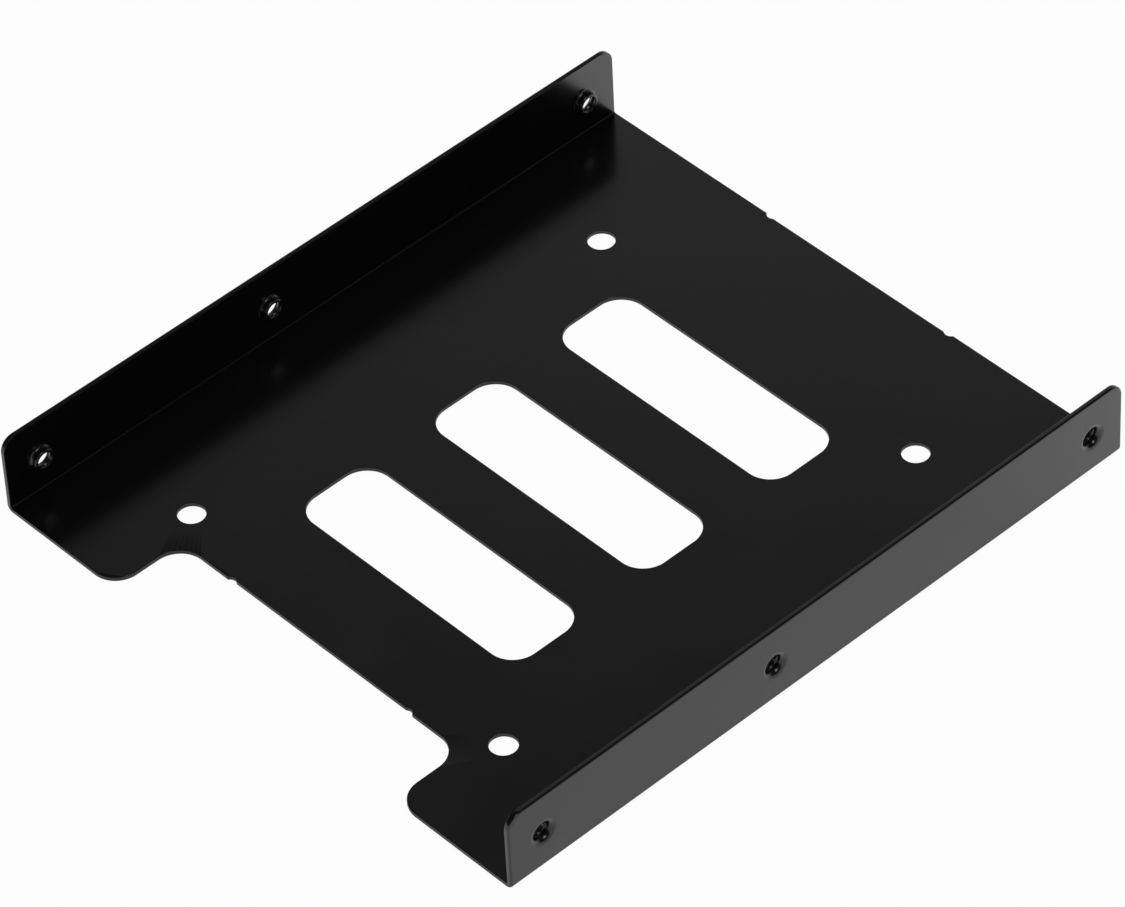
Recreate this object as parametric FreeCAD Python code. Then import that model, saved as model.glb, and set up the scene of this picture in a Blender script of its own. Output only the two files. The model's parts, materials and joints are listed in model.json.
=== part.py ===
"""Drive bay adapter bracket: one folded steel sheet that carries a 2.5 inch drive in a 3.5 inch bay.

Lengths are in millimetres. X runs across the bracket, Y along its side flanges with the recessed
front at -Y, and Z points up. The origin lies on the underside of the plate, in the middle of the
overall width and length.
"""
import FreeCAD
import Part

import os

# Sheet and folds
sheet_thickness = 0.8
inside_bend_radius = 0.25
overall_width = 100.0  # over the outer faces of the two side flanges
flange_corner_radius = 2.25

# Tapped holes in the side flanges, at the places of a 3.5 inch drive's own side holes
bay_hole_height = 6.35  # above the underside of the plate
front_hole_setback = 6.0  # front edge to the first hole
first_hole_spacing = 41.6  # first to middle hole
second_hole_spacing = 60.0  # middle to last hole
back_hole_setback = 5.7  # last hole to the back edge
bay_hole_bore = 2.55  # across the coated crests of the 6-32 thread
bay_hole_entry_radius = 1.0  # where the punch drew the outer face inwards
collar_height = 0.95  # how far the drawn collar stands out of the inner face
collar_wall = 0.45
collar_root_radius = 0.35
collar_tip_radius = 0.15
flange_above_hole = 6.65  # hole centre to the flange's top edge

# Clearance holes in the plate, at the places of a 2.5 inch drive's bottom holes
drive_hole_diameter = 4.0
drive_hole_spacing_across = 61.72
drive_hole_spacing_along = 76.6
drive_hole_offset = -1.8  # middle of the hole pattern, from the bracket's middle

# Recess in the front edge that leaves room for the drive's plugs
recess_width = 55.5
recess_depth = 11.9
recess_corner_radius = 4.0

# Three slots across the plate
slot_count = 3
slot_length = 43.2
slot_width = 13.5
slot_bridge = 10.4  # sheet left between two slots
slot_corner_radius = 4.0
slot_row_offset = 0.8  # middle of the row, from the bracket's middle

# Where the blank was sheared from its carrier strip, between two nicks in the front and back edge
parting_width = 34.8  # between the nicks' centres
parting_step = 0.25
nick_radius = 1.0
nick_depth = 0.5

# Small radius that tumbling and the coat leave along every cut edge
edge_radius = 0.25

# Sizes that follow from those above
overall_length = front_hole_setback + first_hole_spacing + second_hole_spacing + back_hole_setback
flange_height = bay_hole_height + flange_above_hole
outside_bend_radius = inside_bend_radius + sheet_thickness
half_width = overall_width / 2
front_edge = -overall_length / 2
back_edge = overall_length / 2
recess_edge = front_edge + recess_depth
tapped_depth = sheet_thickness + collar_height
bay_hole_places = [
    front_edge + front_hole_setback,
    front_edge + front_hole_setback + first_hole_spacing,
    back_edge - back_hole_setback,
]
cut_margin = 1.0  # how far a cutting shape reaches past the sheet
tolerance = 0.01


def vector(x, y, z):
    return FreeCAD.Vector(x, y, z)


def line(start, end):
    return Part.LineSegment(start, end).toShape()


def quarter_arc(start, centre, end):
    """A quarter circle from start to end about the centre."""
    radius = (start - centre).Length
    outward = (start - centre) + (end - centre)
    middle = centre + outward * (radius / outward.Length)
    return Part.Arc(start, middle, end).toShape()


def face_of(edges):
    return Part.Face(Part.Wire(edges))


def folded_channel():
    """The plate and its two upturned flanges, as one bent sheet of constant thickness."""
    outer = outside_bend_radius
    inner = inside_bend_radius
    floor_in = sheet_thickness + inner
    wall_in = half_width - sheet_thickness

    def at(x, z):
        return vector(x, front_edge, z)

    section = [
        line(at(-half_width, flange_height), at(-half_width, outer)),
        quarter_arc(
            at(-half_width, outer), at(-half_width + outer, outer), at(-half_width + outer, 0)
        ),
        line(at(-half_width + outer, 0), at(half_width - outer, 0)),
        quarter_arc(
            at(half_width - outer, 0), at(half_width - outer, outer), at(half_width, outer)
        ),
        line(at(half_width, outer), at(half_width, flange_height)),
        line(at(half_width, flange_height), at(wall_in, flange_height)),
        line(at(wall_in, flange_height), at(wall_in, floor_in)),
        quarter_arc(
            at(wall_in, floor_in), at(wall_in - inner, floor_in), at(wall_in - inner, sheet_thickness)
        ),
        line(at(wall_in - inner, sheet_thickness), at(inner - wall_in, sheet_thickness)),
        quarter_arc(
            at(inner - wall_in, sheet_thickness), at(inner - wall_in, floor_in), at(-wall_in, floor_in)
        ),
        line(at(-wall_in, floor_in), at(-wall_in, flange_height)),
        line(at(-wall_in, flange_height), at(-half_width, flange_height)),
    ]
    return face_of(section).extrude(vector(0, overall_length, 0))


def through_plate(face):
    """A plan outline drawn at z = 0, made a cutting shape that passes through the plate alone."""
    face.translate(vector(0, 0, -cut_margin))
    return face.extrude(vector(0, 0, sheet_thickness + 2 * cut_margin))


def recess_cut():
    radius = recess_corner_radius
    side = recess_width / 2
    mouth = side + radius
    outside = front_edge - cut_margin

    def at(x, y):
        return vector(x, y, 0)

    return through_plate(face_of([
        quarter_arc(
            at(-mouth, front_edge), at(-mouth, front_edge + radius), at(-side, front_edge + radius)
        ),
        line(at(-side, front_edge + radius), at(-side, recess_edge - radius)),
        quarter_arc(
            at(-side, recess_edge - radius), at(radius - side, recess_edge - radius),
            at(radius - side, recess_edge)
        ),
        line(at(radius - side, recess_edge), at(side - radius, recess_edge)),
        quarter_arc(
            at(side - radius, recess_edge), at(side - radius, recess_edge - radius),
            at(side, recess_edge - radius)
        ),
        line(at(side, recess_edge - radius), at(side, front_edge + radius)),
        quarter_arc(
            at(side, front_edge + radius), at(mouth, front_edge + radius), at(mouth, front_edge)
        ),
        line(at(mouth, front_edge), at(mouth, outside)),
        line(at(mouth, outside), at(-mouth, outside)),
        line(at(-mouth, outside), at(-mouth, front_edge)),
    ]))


def parting_cut(edge, into_sheet):
    """The step and its two nicks in a plan edge; into_sheet is +1 or -1 along Y."""
    depth = parting_step + cut_margin
    start = edge - into_sheet * cut_margin
    lowest = min(start, start + into_sheet * depth)
    height = sheet_thickness + 2 * cut_margin
    cut = Part.makeBox(parting_width, depth, height, vector(-parting_width / 2, lowest, -cut_margin))
    nick_centre = edge + into_sheet * (nick_depth - nick_radius)
    for side in (-1, 1):
        centre = vector(side * parting_width / 2, nick_centre, -cut_margin)
        cut = cut.fuse(Part.makeCylinder(nick_radius, height, centre))
    return cut


def slot_cut(middle):
    """One slot with rounded corners, centred across the plate at y = middle."""
    radius = slot_corner_radius
    right = slot_length / 2
    top = slot_width / 2

    def at(x, y):
        return vector(x, middle + y, 0)

    return through_plate(face_of([
        line(at(radius - right, -top), at(right - radius, -top)),
        quarter_arc(at(right - radius, -top), at(right - radius, radius - top), at(right, radius - top)),
        line(at(right, radius - top), at(right, top - radius)),
        quarter_arc(at(right, top - radius), at(right - radius, top - radius), at(right - radius, top)),
        line(at(right - radius, top), at(radius - right, top)),
        quarter_arc(at(radius - right, top), at(radius - right, top - radius), at(-right, top - radius)),
        line(at(-right, top - radius), at(-right, radius - top)),
        quarter_arc(at(-right, radius - top), at(radius - right, radius - top), at(radius - right, -top)),
    ]))


def drive_hole_cuts():
    cuts = []
    for across in (-1, 1):
        for along in (-1, 1):
            foot = vector(
                across * drive_hole_spacing_across / 2,
                drive_hole_offset + along * drive_hole_spacing_along / 2,
                -cut_margin,
            )
            cuts.append(
                Part.makeCylinder(drive_hole_diameter / 2, sheet_thickness + 2 * cut_margin, foot)
            )
    return cuts


def flange_corner_cut(edge, into_sheet):
    """Rounds the top corner of both flanges at one end of the bracket."""
    radius = flange_corner_radius
    outside = edge - into_sheet * cut_margin
    above = flange_height + cut_margin
    start = -half_width - cut_margin

    def at(y, z):
        return vector(start, y, z)

    inward = edge + into_sheet * radius
    corner = face_of([
        quarter_arc(
            at(edge, flange_height - radius), at(inward, flange_height - radius),
            at(inward, flange_height)
        ),
        line(at(inward, flange_height), at(inward, above)),
        line(at(inward, above), at(outside, above)),
        line(at(outside, above), at(outside, flange_height - radius)),
        line(at(outside, flange_height - radius), at(edge, flange_height - radius)),
    ])
    return corner.extrude(vector(overall_width + 2 * cut_margin, 0, 0))


def turned_about_hole(profile, place):
    """A profile in depth and radius, turned about the axis of the left flange's hole at y = place."""
    face = face_of(profile)
    face.translate(vector(-half_width, place, bay_hole_height))
    axis_point = vector(-half_width, place, bay_hole_height)
    return face.revolve(axis_point, vector(1, 0, 0), 360)


def collar_at(place):
    """The drawn collar, filled: the bore is cut through it afterwards."""
    wall = bay_hole_bore / 2 + collar_wall
    root = collar_root_radius
    tip = collar_tip_radius
    buried = sheet_thickness / 2

    def at(depth, radius):
        return vector(depth, 0, radius)

    profile = [
        line(at(buried, 0), at(buried, wall + root)),
        line(at(buried, wall + root), at(sheet_thickness, wall + root)),
        quarter_arc(
            at(sheet_thickness, wall + root), at(sheet_thickness + root, wall + root),
            at(sheet_thickness + root, wall)
        ),
        line(at(sheet_thickness + root, wall), at(tapped_depth - tip, wall)),
        quarter_arc(
            at(tapped_depth - tip, wall), at(tapped_depth - tip, wall - tip), at(tapped_depth, wall - tip)
        ),
        line(at(tapped_depth, wall - tip), at(tapped_depth, 0)),
        line(at(tapped_depth, 0), at(buried, 0)),
    ]
    return turned_about_hole(profile, place)


def bore_at(place):
    """The bore with its drawn-in entry at the outer face."""
    bore = bay_hole_bore / 2
    entry = bay_hole_entry_radius

    def at(depth, radius):
        return vector(depth, 0, radius)

    profile = [
        line(at(-cut_margin, 0), at(-cut_margin, bore + entry)),
        line(at(-cut_margin, bore + entry), at(0, bore + entry)),
        quarter_arc(at(0, bore + entry), at(entry, bore + entry), at(entry, bore)),
        line(at(entry, bore), at(tapped_depth + cut_margin, bore)),
        line(at(tapped_depth + cut_margin, bore), at(tapped_depth + cut_margin, 0)),
        line(at(tapped_depth + cut_margin, 0), at(-cut_margin, 0)),
    ]
    return turned_about_hole(profile, place)


def both_flanges(shapes):
    """The left flange's shapes and their mirror images on the right flange."""
    mirrored = [shape.mirror(vector(0, 0, 0), vector(1, 0, 0)) for shape in shapes]
    return shapes + mirrored


def is_broad_side(face):
    """True on the sheet's two broad sides, flat or bent, and false on the walls of its cuts."""
    surface = face.Surface
    if isinstance(surface, Part.Cylinder):
        return abs(surface.Axis.y) > 1 - tolerance
    middle = face.CenterOfMass
    on_plate = abs(surface.Axis.z) > 1 - tolerance and middle.z < sheet_thickness + tolerance
    inner_face = half_width - sheet_thickness
    on_flange = abs(surface.Axis.x) > 1 - tolerance and abs(middle.x) > inner_face - tolerance
    return on_plate or on_flange


def with_rounded_cut_edges(sheet):
    """Rounds every edge where a cut's wall meets a broad side."""
    edges = []
    for edge in sheet.Edges:
        sides = [is_broad_side(face) for face in sheet.ancestorsOfType(edge, Part.Face)]
        if True in sides and False in sides:
            edges.append(edge)
    return sheet.makeFillet(edge_radius, edges)


def adapter_bracket():
    sheet = folded_channel()
    cuts = [recess_cut(), parting_cut(recess_edge, 1), parting_cut(back_edge, -1)]
    first_slot = slot_row_offset - (slot_count - 1) / 2 * (slot_width + slot_bridge)
    for index in range(slot_count):
        cuts.append(slot_cut(first_slot + index * (slot_width + slot_bridge)))
    cuts += drive_hole_cuts()
    cuts += [flange_corner_cut(front_edge, 1), flange_corner_cut(back_edge, -1)]
    sheet = with_rounded_cut_edges(sheet.cut(cuts).removeSplitter())
    sheet = sheet.fuse(both_flanges([collar_at(place) for place in bay_hole_places]))
    sheet = sheet.cut(both_flanges([bore_at(place) for place in bay_hole_places]))
    return sheet.removeSplitter()


def main():
    os.makedirs("parts", exist_ok=True)
    bracket = adapter_bracket()
    bracket.exportStep("parts/adapter_bracket.step")
    print("solids", len(bracket.Solids), "valid", bracket.isValid(), "volume", round(bracket.Volume, 1))


main()
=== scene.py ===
import json
import math

import bmesh
import bpy
from mathutils import Matrix, Vector


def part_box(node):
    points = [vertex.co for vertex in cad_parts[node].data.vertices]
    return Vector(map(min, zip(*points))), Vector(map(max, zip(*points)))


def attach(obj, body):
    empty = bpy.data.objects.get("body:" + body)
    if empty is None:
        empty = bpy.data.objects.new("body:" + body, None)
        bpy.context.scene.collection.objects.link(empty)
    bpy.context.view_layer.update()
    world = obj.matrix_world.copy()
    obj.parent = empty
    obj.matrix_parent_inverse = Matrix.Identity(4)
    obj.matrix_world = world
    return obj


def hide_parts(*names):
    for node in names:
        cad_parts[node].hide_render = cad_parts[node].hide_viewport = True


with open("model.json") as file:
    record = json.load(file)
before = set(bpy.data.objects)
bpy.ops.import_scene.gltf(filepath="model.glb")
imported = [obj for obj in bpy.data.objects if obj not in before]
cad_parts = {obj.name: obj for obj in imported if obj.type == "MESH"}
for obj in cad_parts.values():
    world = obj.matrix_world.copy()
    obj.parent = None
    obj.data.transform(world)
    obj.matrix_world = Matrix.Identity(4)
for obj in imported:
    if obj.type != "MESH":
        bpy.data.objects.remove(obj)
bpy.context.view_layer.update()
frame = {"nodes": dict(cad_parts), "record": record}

mm = 0.001                                    # sizes below are in millimetres, Blender's in metres
quarterTurn = math.tau / 4
mounts = {mount["name"]: mount for mount in frame["record"]["mounts"]}
print("frame loaded:", ", ".join(sorted(frame["nodes"])))


# small helpers for meshes and objects

def clamp(value):
    return min(1, max(0, value))


def onlyVerts(parts):
    return [part for part in parts if isinstance(part, bmesh.types.BMVert)]


def meshFrom(bm, name):
    mesh = bpy.data.meshes.new(name)
    bm.to_mesh(mesh)
    bm.free()
    return mesh


def addObject(name, data):
    thing = bpy.data.objects.new(name, data)
    bpy.context.scene.collection.objects.link(thing)
    return thing


def towards(turn, rise):
    # one step that way: degrees round from straight in front, degrees up from the table
    turn, rise = math.radians(turn), math.radians(rise)
    level = math.cos(rise)
    return Vector((math.sin(turn) * level, -math.cos(turn) * level, math.sin(rise)))


# small helpers for materials

def hexColour(text):
    # an sRGB hex value as the linear colour that the shader wants, by the sRGB curve's own numbers
    channels = [int(text[i:i + 2], 16) / 255 for i in (0, 2, 4)]
    linear = [c / 12.92 if c <= 0.04045 else ((c + 0.055) / 1.055) ** 2.4 for c in channels]
    return (*linear, 1.0)


def addNode(tree, kind, values=None, links=None, **settings):
    # one node, its settings, its socket values and what feeds its sockets
    node = tree.nodes.new(kind)
    for name, value in settings.items():
        setattr(node, name, value)
    for name, value in (values or {}).items():
        node.inputs[name].default_value = value
    for name, source in (links or {}).items():
        tree.links.new(source, node.inputs[name])
    return node


def newMaterial(name):
    material = bpy.data.materials.new(name)
    material.use_nodes = True
    material.node_tree.nodes.clear()
    return material, material.node_tree


def setRamp(node, stops):
    # stops are (position, grey); a new ramp has two
    ramp = node.color_ramp
    while len(ramp.elements) < len(stops):
        ramp.elements.new(1.0)
    for element, (position, grey) in zip(ramp.elements, stops):
        element.position = position
        element.color = (grey, grey, grey, 1.0)


# black powder-coated steel: dry polyester powder sprayed on and baked to a hard film.
# The eye gets a near black with hardly any colour of its own, a soft mirror of the room that
# grows towards grazing angles, and the faint orange peel of a film that flowed as it baked.
powderCoat = dict(
    colour="090909", ior=1.52, roughness=0.215,
    # each pattern's size in mm, then its noise's detail and roughness
    cloud=(22.0, 2.0, 0.5),                   # slow drift in gloss where the film is thicker
    peel=(1.6, 1.0, 0.4),                     # orange peel
    grain=(0.12, 2.0, 0.5),                   # grit of the powder itself
    roughnessSpread=0.03,                     # how far the gloss drifts to either side
    cloudRange=(0.3, 0.7),                    # the cloud's values at the two ends of that drift
    peelDepth=0.004, grainDepth=0.0006,       # height of the waves and of the grit
)


def makePowderCoat():
    coat = powderCoat
    material, tree = newMaterial("black_powder_coated_steel")
    place = addNode(tree, "ShaderNodeTexCoord").outputs["Object"]
    patterns = []
    for width, detail, roughness in (coat["cloud"], coat["peel"], coat["grain"]):
        noise = addNode(tree, "ShaderNodeTexNoise",
                        {"Scale": 1 / mm / width, "Detail": detail, "Roughness": roughness},
                        {"Vector": place})
        patterns.append(noise.outputs["Fac"])
    cloud, peel, grain = patterns

    lowest, highest = coat["cloudRange"]
    glossiest = coat["roughness"] - coat["roughnessSpread"]
    dullest = coat["roughness"] + coat["roughnessSpread"]
    gloss = addNode(tree, "ShaderNodeMapRange",
                    {"From Min": lowest, "From Max": highest, "To Min": glossiest, "To Max": dullest},
                    {"Value": cloud})
    waves = addNode(tree, "ShaderNodeBump", {"Distance": coat["peelDepth"] * mm}, {"Height": peel})
    grit = addNode(tree, "ShaderNodeBump", {"Distance": coat["grainDepth"] * mm},
                   {"Height": grain, "Normal": waves.outputs["Normal"]})
    shader = addNode(tree, "ShaderNodeBsdfPrincipled",
                     {"Base Color": hexColour(coat["colour"]), "IOR": coat["ior"]},
                     {"Roughness": gloss.outputs["Result"], "Normal": grit.outputs["Normal"]})
    addNode(tree, "ShaderNodeOutputMaterial", links={"Surface": shader.outputs["BSDF"]})
    return material


# the bracket: a flat blank is cut out and its edges are rounded, its six side holes get the
# collars that a punch draws inwards, and its flanges are folded up
low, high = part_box("adapter_bracket")
blank = dict(
    thickness=0.8, insideBend=0.25,
    flangeCorner=2.25,
    recessWidth=55.5, recessDepth=11.9, recessCorner=4.0,
    slotLength=43.2, slotWidth=13.5, slotBridge=10.4, slotCorner=4.0,
    slotRowMiddle=0.8, slotCount=3,
    partingWidth=34.8, partingStep=0.25,      # where the blank was cut off its strip
    nickRadius=1.0, nickDepth=0.5,            # and the nick at each end of that cut
    underRadius=0.3, topRadius=0.08,          # cutting rolled the lower edges over, not the upper
    shearLean=0.06,                           # the two long sides are cut this much out of square
    bendLine=0.947,                           # length of the sheet's neutral line through a bend
    bendSteps=14, edgeSteps=5, holeSides=48,  # straight bits in a bend, an edge and a drive hole
    arcStep=0.15,                             # length of the straight bits in a rounded corner
    sharpAngle=40,                            # degrees past which an edge is shaded crisp
)

# points that lie this near each other, in mm, are one
weld = dict(point=1e-5, seam=1e-4, collar=2e-3)


class pen:
    # draws an outline in a bmesh by extruding its last vertex along lines and turning it round arcs
    def __init__(self, bm, x, y):
        self.bm = bm
        self.steps = 4                        # the fewest straight bits in an arc
        self.tip = bm.verts.new((x, y, 0))

    def line(self, x, y):
        grown = bmesh.ops.extrude_vert_indiv(self.bm, verts=[self.tip])
        self.tip = grown["verts"][0]
        self.tip.co = (x, y, 0)

    def arc(self, x, y, degrees):
        radius = (self.tip.co - Vector((x, y, 0))).length
        angle = math.radians(degrees)
        steps = max(self.steps, round(radius * abs(angle) / blank["arcStep"]))
        turned = bmesh.ops.spin(self.bm, geom=[self.tip], cent=(x, y, 0), axis=(0, 0, 1),
                                angle=angle, steps=steps)
        self.tip = onlyVerts(turned["geom_last"])[0]


def flatSizes():
    # where the folded bracket's edges and holes lie on the flat blank, in mm
    drive = mounts["drive_holes"]
    ends, fronts = mounts["right_bay_end_holes"], mounts["right_bay_front_holes"]
    driveMiddle, endMiddle, frontMiddle = [row["pos_m"][1] / mm for row in (drive, ends, fronts)]
    across, endHalf, frontHalf = [row["dims"]["spacing_x_mm"] / 2 for row in (drive, ends, fronts)]
    along = drive["dims"]["spacing_y_mm"] / 2
    outsideBend = blank["insideBend"] + blank["thickness"]
    bendStart = high.x / mm - outsideBend
    flangeStart = bendStart + blank["bendLine"]
    return dict(
        outsideBend=outsideBend, bendStart=bendStart,
        halfWidth=flangeStart + high.z / mm - outsideBend,
        front=low.y / mm, back=high.y / mm,
        bayLine=flangeStart + ends["pos_m"][2] / mm - outsideBend,
        bayHoles=[endMiddle - endHalf, frontMiddle + frontHalf, endMiddle + endHalf],
        driveHoles=[(across, driveMiddle - along), (across, driveMiddle + along)],
        driveRadius=drive["dims"]["hole_r_mm"],
    )


def bayPlaces(flat):
    return [(side * flat["bayLine"], y) for side in (-1, 1) for y in flat["bayHoles"]]


def drawOutline(bm, halfWidth, front, back):
    # the right half of the blank's outline, from the front edge's middle round to the back edge's
    corner, recess = blank["flangeCorner"], blank["recessCorner"]
    side, inner = blank["recessWidth"] / 2, front + blank["recessDepth"]
    step, nick, middle = blank["partingStep"], blank["nickRadius"], blank["partingWidth"] / 2
    rise = nick - blank["nickDepth"]          # the nick's centre stands this far outside the edge
    stepEnd, edgeEnd = math.acos((rise + step) / nick), math.acos(rise / nick)
    sweep = math.degrees(stepEnd + edgeEnd)

    walk = pen(bm, 0, inner + step)
    walk.line(middle - nick * math.sin(stepEnd), inner + step)
    walk.arc(middle, inner - rise, -sweep)
    walk.line(side - recess, inner)
    walk.arc(side - recess, inner - recess, -90)
    walk.line(side, front + recess)
    walk.arc(side + recess, front + recess, 90)
    walk.line(halfWidth - corner, front)
    walk.arc(halfWidth - corner, front + corner, 90)
    walk.line(halfWidth, back - corner)
    walk.arc(halfWidth - corner, back - corner, 90)
    walk.line(middle + nick * math.sin(edgeEnd), back)
    walk.arc(middle, back + rise, -sweep)
    walk.line(0, back - step)


def drawSlot(bm, middle):
    # the right half of one slot
    corner, side, top = blank["slotCorner"], blank["slotLength"] / 2, blank["slotWidth"] / 2
    walk = pen(bm, 0, middle - top)
    walk.line(side - corner, middle - top)
    walk.arc(side - corner, middle - top + corner, 90)
    walk.line(side, middle + top - corner)
    walk.arc(side - corner, middle + top - corner, 90)
    walk.line(0, middle + top)


def drawHole(bm, x, y, radius, sides):
    bmesh.ops.create_circle(bm, segments=sides, radius=radius, matrix=Matrix.Translation((x, y, 0)))


def makeBlank(flat):
    # half an outline with its holes, mirrored, filled and thickened
    bm = bmesh.new()
    drawOutline(bm, flat["halfWidth"], flat["front"], flat["back"])
    for index in range(blank["slotCount"]):
        fromMiddle = index - (blank["slotCount"] - 1) / 2
        drawSlot(bm, blank["slotRowMiddle"] + fromMiddle * (blank["slotWidth"] + blank["slotBridge"]))
    for x, y in flat["driveHoles"]:
        drawHole(bm, x, y, flat["driveRadius"], blank["holeSides"])
    for y in flat["bayHoles"]:
        drawHole(bm, flat["bayLine"], y, collar["ring"], collar["segments"])
    bmesh.ops.mirror(bm, geom=bm.verts[:] + bm.edges[:], axis="X", merge_dist=weld["seam"])
    bmesh.ops.triangle_fill(bm, edges=bm.edges[:], use_beauty=True, use_dissolve=False,
                            normal=(0, 0, 1))
    raised = bmesh.ops.extrude_face_region(bm, geom=bm.faces[:], use_keep_orig=True)
    bmesh.ops.translate(bm, verts=onlyVerts(raised["geom"]), vec=(0, 0, blank["thickness"]))
    bmesh.ops.recalc_face_normals(bm, faces=bm.faces[:])
    return bm


def isUpright(face):
    halfway = 0.5                             # a wall's normal rises by 0, a flat face's by 1
    return abs(face.normal.z) < halfway


def isRim(edge, height):
    # where the wall of a cut meets the sheet's face at this height
    level = all(abs(vert.co.z - height) < weld["point"] for vert in edge.verts)
    walls = [face for face in edge.link_faces if isUpright(face)]
    return level and len(edge.link_faces) == 2 and len(walls) == 1


def openBayHoles(bm, flat):
    # the straight walls of the side holes go, because a drawn collar takes their place
    reach = collar["ring"] + collar["clearance"]
    walls = []
    for face in bm.faces:
        middle = face.calc_center_median()
        inHole = any(math.hypot(middle.x - x, middle.y - y) < reach for x, y in bayPlaces(flat))
        if inHole and isUpright(face):
            walls.append(face)
    bmesh.ops.delete(bm, geom=walls, context="FACES")


def leanLongSides(bm, flat):
    # the sheet's upper face ends a little short at the two long sides, less and less round their
    # corners, so the folded flanges' tops slope inwards
    for vert in bm.verts:
        if vert.co.z > blank["thickness"] / 2 and abs(vert.co.x) > flat["bendStart"]:
            outwards = sum((face.normal for face in vert.link_faces if isUpright(face)), Vector())
            if outwards.length > 0:
                outwards.normalize()
                vert.co -= outwards * abs(outwards.x) * blank["shearLean"]


def roundCutEdges(bm, height, radius):
    rims = [edge for edge in bm.edges if isRim(edge, height)]
    bmesh.ops.bevel(bm, geom=rims, offset=radius, offset_type="OFFSET", affect="EDGES",
                    segments=blank["edgeSteps"], profile=0.5, loop_slide=False, material=-1)


# a side hole: the punch draws its rim in, which leaves a funnel outside and a collar inside,
# and the tap then cuts a 6-32 thread through both
collar = dict(
    bore=1.21, entry=1.065,                   # radii over the thread's crests and of the funnel
    height=1.0, wall=0.5,                     # how far it stands inwards, and how thick
    rootRadius=0.45, tipRadius=0.25, mouthRadius=0.06,
    ring=2.45, clearance=0.1,                 # the collar takes over the flange from here inwards
    segments=72, entrySteps=26, boreCuts=18, roundSteps=7,
    pitch=0.794, threadDepth=0.22,            # 32 threads to the inch, with the coat in their roots
    rootFlat=0.125, crestFlat=0.25,           # shares of half a pitch
    threadStart=0.3, threadFade=0.35,         # the grooves run out towards both ends of the hole
    turns=[65, 130, 195, 15, 45, 30],         # degrees each tap starts at, in whole segments
)


def drawCollar(bm):
    # distance from the axis runs along x and depth into the flange along y
    bore, entry, ring = collar["bore"], collar["entry"], collar["ring"]
    root, lip, mouth = collar["rootRadius"], collar["tipRadius"], collar["mouthRadius"]
    wall, sheet = bore + collar["wall"], blank["thickness"]
    tip = sheet + collar["height"]

    walk = pen(bm, ring, 0)
    walk.line(bore + entry, 0)
    walk.steps = collar["entrySteps"]
    walk.arc(bore + entry, entry, -90)
    walk.steps = collar["roundSteps"]
    for cut in range(collar["boreCuts"] + 1):
        share = cut / collar["boreCuts"]
        walk.line(bore, entry + share * (tip - mouth - entry))
    walk.arc(bore + mouth, tip - mouth, -90)
    walk.line(wall - lip, tip)
    walk.arc(wall - lip, tip - lip, -90)
    walk.line(wall, sheet + root)
    walk.arc(wall + root, sheet + root, 90)
    walk.line(ring, sheet)


def threadRadius(depth, angle):
    # how far out the thread's groove reaches at this depth and angle round the bore
    turns = depth / collar["pitch"] - angle / math.tau
    away = 2 * abs(turns - round(turns))      # 0 in the middle of a groove, 1 in that of a crest
    flank = 1 - collar["rootFlat"] - collar["crestFlat"]
    climb = clamp((away - collar["rootFlat"]) / flank)
    eased = climb * climb * (3 - 2 * climb)   # level at both ends of the flank
    end = blank["thickness"] + collar["height"] - collar["mouthRadius"]
    fade = clamp(min(depth - collar["threadStart"], end - depth) / collar["threadFade"])
    return collar["bore"] + fade * collar["threadDepth"] * (1 - eased)


def makeCollar():
    bm = bmesh.new()
    drawCollar(bm)
    bmesh.ops.remove_doubles(bm, verts=bm.verts[:], dist=weld["point"])
    bmesh.ops.rotate(bm, verts=bm.verts[:], cent=(0, 0, 0),
                     matrix=Matrix.Rotation(quarterTurn, 3, "X"))
    bmesh.ops.spin(bm, geom=bm.verts[:] + bm.edges[:], cent=(0, 0, 0), axis=(0, 0, 1),
                   angle=math.tau, steps=collar["segments"], use_merge=True)
    bmesh.ops.remove_doubles(bm, verts=bm.verts[:], dist=weld["seam"])
    for vert in bm.verts:
        radius = math.hypot(vert.co.x, vert.co.y)
        if radius < collar["bore"] + collar["threadDepth"]:
            cut = max(radius, threadRadius(vert.co.z, math.atan2(vert.co.y, vert.co.x)))
            vert.co.x *= cut / radius
            vert.co.y *= cut / radius
    return meshFrom(bm, "collar")


def addCollars(bm, flat):
    mesh = makeCollar()
    for (x, y), turn in zip(bayPlaces(flat), collar["turns"]):
        sheetVerts = set(bm.verts)
        bm.from_mesh(mesh)
        added = [vert for vert in bm.verts if vert not in sheetVerts]
        place = Matrix.Translation((x, y, 0)) @ Matrix.Rotation(math.radians(turn), 4, "Z")
        bmesh.ops.transform(bm, matrix=place, verts=added)
    bmesh.ops.remove_doubles(bm, verts=bm.verts[:], dist=weld["collar"])
    bpy.data.meshes.remove(mesh)


def foldFlanges(bm, flat):
    # cuts the sheet across each bend so that it can curve, then turns it about the bend's axis
    start, length, outside = flat["bendStart"], blank["bendLine"], flat["outsideBend"]
    for index in range(blank["bendSteps"] + 1):
        x = start + length * index / blank["bendSteps"]
        for side in (-1, 1):
            bmesh.ops.bisect_plane(bm, geom=bm.verts[:] + bm.edges[:] + bm.faces[:],
                                   dist=weld["point"], plane_co=(side * x, 0, 0), plane_no=(1, 0, 0))
    for vert in bm.verts:
        past = abs(vert.co.x) - start
        if past > 0:
            angle = clamp(past / length) * quarterTurn
            radius = outside - vert.co.z
            x = start + radius * math.sin(angle)
            z = outside - radius * math.cos(angle) + max(0, past - length)
            vert.co = (math.copysign(x, vert.co.x), vert.co.y, z)


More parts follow.
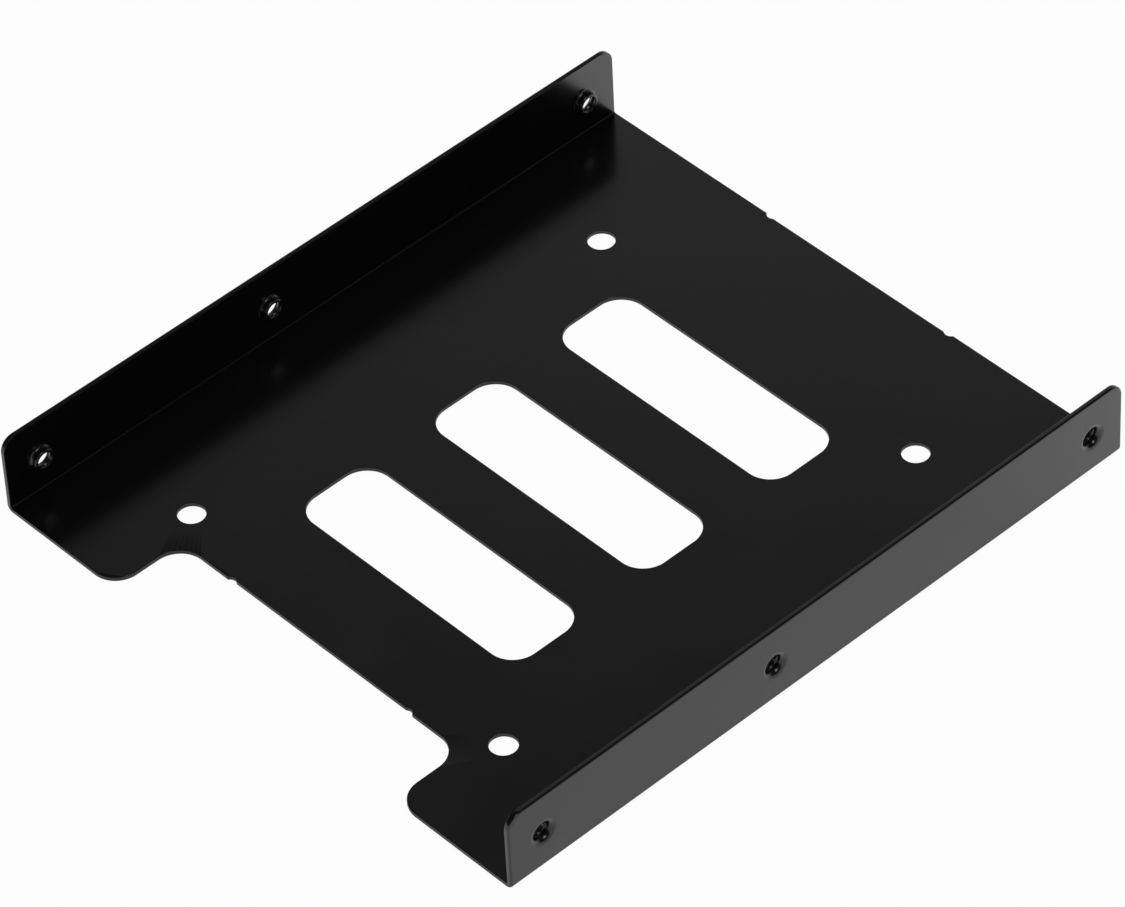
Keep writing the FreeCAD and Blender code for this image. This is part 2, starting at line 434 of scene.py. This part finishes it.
def makeBracket():
    flat = flatSizes()
    bm = makeBlank(flat)
    openBayHoles(bm, flat)
    leanLongSides(bm, flat)
    roundCutEdges(bm, blank["thickness"], blank["topRadius"])
    roundCutEdges(bm, 0, blank["underRadius"])
    addCollars(bm, flat)
    foldFlanges(bm, flat)
    bmesh.ops.recalc_face_normals(bm, faces=bm.faces[:])
    bmesh.ops.scale(bm, vec=(mm, mm, mm), verts=bm.verts[:])
    for face in bm.faces:
        face.smooth = True
    openEdges = sum(len(edge.link_faces) != 2 for edge in bm.edges)

    mesh = meshFrom(bm, "coated_bracket")
    mesh.set_sharp_from_angle(angle=math.radians(blank["sharpAngle"]))
    mesh.materials.append(makePowderCoat())
    piece = addObject("coated_bracket", mesh)
    evened = piece.modifiers.new("even_normals", "WEIGHTED_NORMAL")
    evened.keep_sharp = True
    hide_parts("adapter_bracket")
    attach(piece, "root")
    print("bracket made:", len(mesh.polygons), "faces,", openEdges, "open edges")


makeBracket()


# a white table that runs on to a white horizon under a dim ceiling
stage = dict(
    reach=3.0, drop=0.05,                     # metres from its middle to its edge, mm below the sheet
    floorColour="f6f6f6", floorGlow=0.96,     # share of the table's white that no shadow dims
    # painted light: how brightly the table glows in reflections, brighter towards the back as if more
    # light fell there: place along its length in mm, share of white
    mirror=[(-80, 1.1), (-60, 0.93), (-32, 0.95), (-12, 0.975),
            (28, 1.0), (41, 1.12), (53, 1.2), (68, 1.4)],
    mirrorTurn=(-0.12, 1.0, 0.0),             # the way that length runs
    paintedContactShade=1.2, paintedContactShadeSamples=8,            # mm over which a painted contact shade darkens the table's reflected glow towards the sheet's edges
    # how bright the room is on its two sides: degrees over the horizon, share of white
    roomLit=[(0, 1.0), (6, 0.7), (14, 0.38), (30, 0.42), (38, 0.6), (46.6, 0.06), (90, 0.06)],
    roomDim=[(0, 0.8), (4, 0.3), (9, 0.1), (16, 0.06), (90, 0.06)],
    litSide=(-0.423, 0.906, 0.0),             # the way to the lit side
    dimBelow=0.44, litAbove=0.69,             # cosines of the angle to it where each side ends
    # the lamps, in metres, watts and degrees
    fillSize=1.6, fillHeight=1.8, fillPower=16.0,
    keySize=0.33, keyReach=1.0, keyPower=1.8, keyTurn=87.0, keyRise=43.0,
)


def makeTableTop():
    # matt white laminate: an even white with no shine. The camera sees it nearly free of shadow, while
    # reflections see painted light: a glow that grows brighter towards the back as the mirror list
    # says, with painted contact shade near the sheet's edges
    material, tree = newMaterial("matt_white_table_painted_reflection")
    ray = addNode(tree, "ShaderNodeLightPath")
    place = addNode(tree, "ShaderNodeTexCoord").outputs["Object"]
    places, shares = zip(*stage["mirror"])
    first, last, brightest = places[0], places[-1], max(shares)
    turned = addNode(tree, "ShaderNodeVectorMath", {1: stage["mirrorTurn"]}, {0: place},
                     operation="DOT_PRODUCT")
    along = addNode(tree, "ShaderNodeMapRange", {"From Min": first * mm, "From Max": last * mm},
                    {"Value": turned.outputs["Value"]})
    level = addNode(tree, "ShaderNodeValToRGB", links={"Fac": along.outputs["Result"]})
    setRamp(level, [((y - first) / (last - first), share / brightest) for y, share in stage["mirror"]])
    # painted shade: ambient occlusion darkens the reflected glow where the table meets the sheet
    near = addNode(tree, "ShaderNodeAmbientOcclusion", {"Distance": stage["paintedContactShade"] * mm},
                   {"Color": level.outputs["Color"]}, samples=stage["paintedContactShadeSamples"])
    # painted light: the table's glow as reflections see it, with the painted contact shade in it
    mirrored = addNode(tree, "ShaderNodeEmission", {"Strength": brightest},
                       {"Color": near.outputs["Color"]})

    matt = addNode(tree, "ShaderNodeBsdfDiffuse", {"Color": hexColour(stage["floorColour"])})
    white = addNode(tree, "ShaderNodeEmission", {"Strength": 1.0})
    seen = addNode(tree, "ShaderNodeMixShader", {"Fac": stage["floorGlow"]},
                   {1: matt.outputs["BSDF"], 2: white.outputs["Emission"]})
    forCamera = addNode(tree, "ShaderNodeMixShader", links={
        "Fac": ray.outputs["Is Camera Ray"], 1: matt.outputs["BSDF"], 2: seen.outputs["Shader"]})
    forGloss = addNode(tree, "ShaderNodeMixShader", links={
        "Fac": ray.outputs["Is Glossy Ray"], 1: forCamera.outputs["Shader"],
        2: mirrored.outputs["Emission"]})
    addNode(tree, "ShaderNodeOutputMaterial", links={"Surface": forGloss.outputs["Shader"]})
    return material


def makeFloor():
    bm = bmesh.new()
    bmesh.ops.create_grid(bm, x_segments=1, y_segments=1, size=stage["reach"])
    mesh = meshFrom(bm, "floor")
    mesh.materials.append(makeTableTop())
    floor = addObject("floor", mesh)
    floor.location.z = -stage["drop"] * mm


def makeRoom():
    world = bpy.data.worlds.new("white_horizon")
    bpy.context.scene.world = world
    world.use_nodes = True
    tree = world.node_tree
    tree.nodes.clear()
    look = addNode(tree, "ShaderNodeTexCoord").outputs["Generated"]
    split = addNode(tree, "ShaderNodeSeparateXYZ", links={"Vector": look})
    sides = []
    for side in ("roomDim", "roomLit"):
        ramp = addNode(tree, "ShaderNodeValToRGB", links={"Fac": split.outputs["Z"]})
        setRamp(ramp, [(math.sin(math.radians(rise)), share) for rise, share in stage[side]])
        sides.append(ramp.outputs["Color"])
    turned = addNode(tree, "ShaderNodeVectorMath", {1: stage["litSide"]}, {0: look},
                     operation="DOT_PRODUCT")
    across = addNode(tree, "ShaderNodeMapRange",
                     {"From Min": stage["dimBelow"], "From Max": stage["litAbove"]},
                     {"Value": turned.outputs["Value"]})
    room = addNode(tree, "ShaderNodeMix", data_type="RGBA", links={
        "Factor": across.outputs["Result"], "A": sides[0], "B": sides[1]})
    light = addNode(tree, "ShaderNodeBackground", links={"Color": room.outputs["Result"]})
    addNode(tree, "ShaderNodeOutputWorld", links={"Surface": light.outputs["Background"]})


def makeLamp(name, size, power, place, mirrored):
    lamp = bpy.data.lights.new(name, "AREA")
    lamp.size = size
    lamp.energy = power
    box = addObject(name, lamp)
    box.location = place
    box.rotation_mode = "QUATERNION"
    box.rotation_quaternion = place.to_track_quat("Z", "Y")
    box.visible_glossy = mirrored


def makeLamps():
    # the key lamp stands to the right, where the rims of the side holes glint
    keyPlace = towards(stage["keyTurn"], stage["keyRise"]) * stage["keyReach"]
    makeLamp("key_softbox", stage["keySize"], stage["keyPower"], keyPlace, mirrored=True)
    # the fill lamp hangs overhead and is kept out of reflections
    fillPlace = Vector((0, 0, stage["fillHeight"]))
    makeLamp("fill_softbox", stage["fillSize"], stage["fillPower"], fillPlace, mirrored=False)


makeFloor()
makeRoom()
makeLamps()
print("stage set")


# the camera looks down on the open front, from the right
view = dict(
    aim=(-3.99, 3.47, 0.0), distance=958.6,   # millimetres
    azimuth=48.668, elevation=43.78, roll=-3.072,
    lens=225.46, sensor=36.0,                 # millimetres
    nearest=0.05, farthest=20.0,              # metres between which the camera sees
)


def makeCamera():
    camera = bpy.data.cameras.new("camera")
    camera.lens, camera.sensor_width = view["lens"], view["sensor"]
    camera.clip_start, camera.clip_end = view["nearest"], view["farthest"]
    back = towards(view["azimuth"], view["elevation"])
    roll = Matrix.Rotation(math.radians(view["roll"]), 4, "Z").to_quaternion()
    stand = addObject("camera", camera)
    stand.rotation_mode = "QUATERNION"
    stand.location = (Vector(view["aim"]) + back * view["distance"]) * mm
    stand.rotation_quaternion = (-back).to_track_quat("-Z", "Y") @ roll
    bpy.context.scene.camera = stand


makeCamera()
bpy.context.scene.view_settings.view_transform = "Standard"
print("camera placed")
